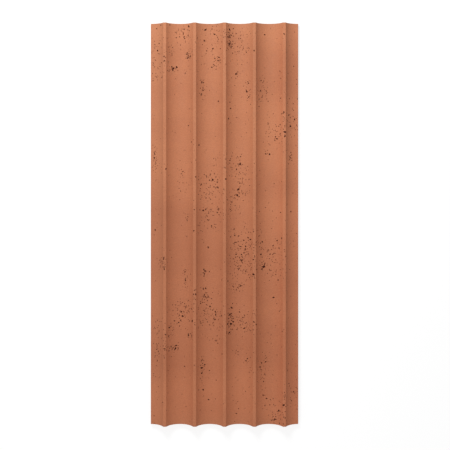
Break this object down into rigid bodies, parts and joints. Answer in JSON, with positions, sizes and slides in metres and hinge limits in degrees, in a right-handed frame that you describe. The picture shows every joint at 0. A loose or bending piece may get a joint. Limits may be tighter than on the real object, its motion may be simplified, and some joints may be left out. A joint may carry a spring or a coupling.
{
  "type": "three-dimensional concrete wall panel",
  "caption": "Tall flat-backed concrete wall panel whose face is cast as narrow ribs with round flutes between them.",
  "frame": {"origin": "centre of the flat back face", "axes": "+X across the ribs and flutes, +Y along them (up once the panel is hung), +Z out of the fluted face"},
  "size_m": [0.442, 1.2, 0.04],
  "materials": {
    "pigmented_concrete": "matt as-cast face with open air pores"
  },
  "bodies": {
    "root": {"panel": "pigmented_concrete"}
  },
  "joints": []
}
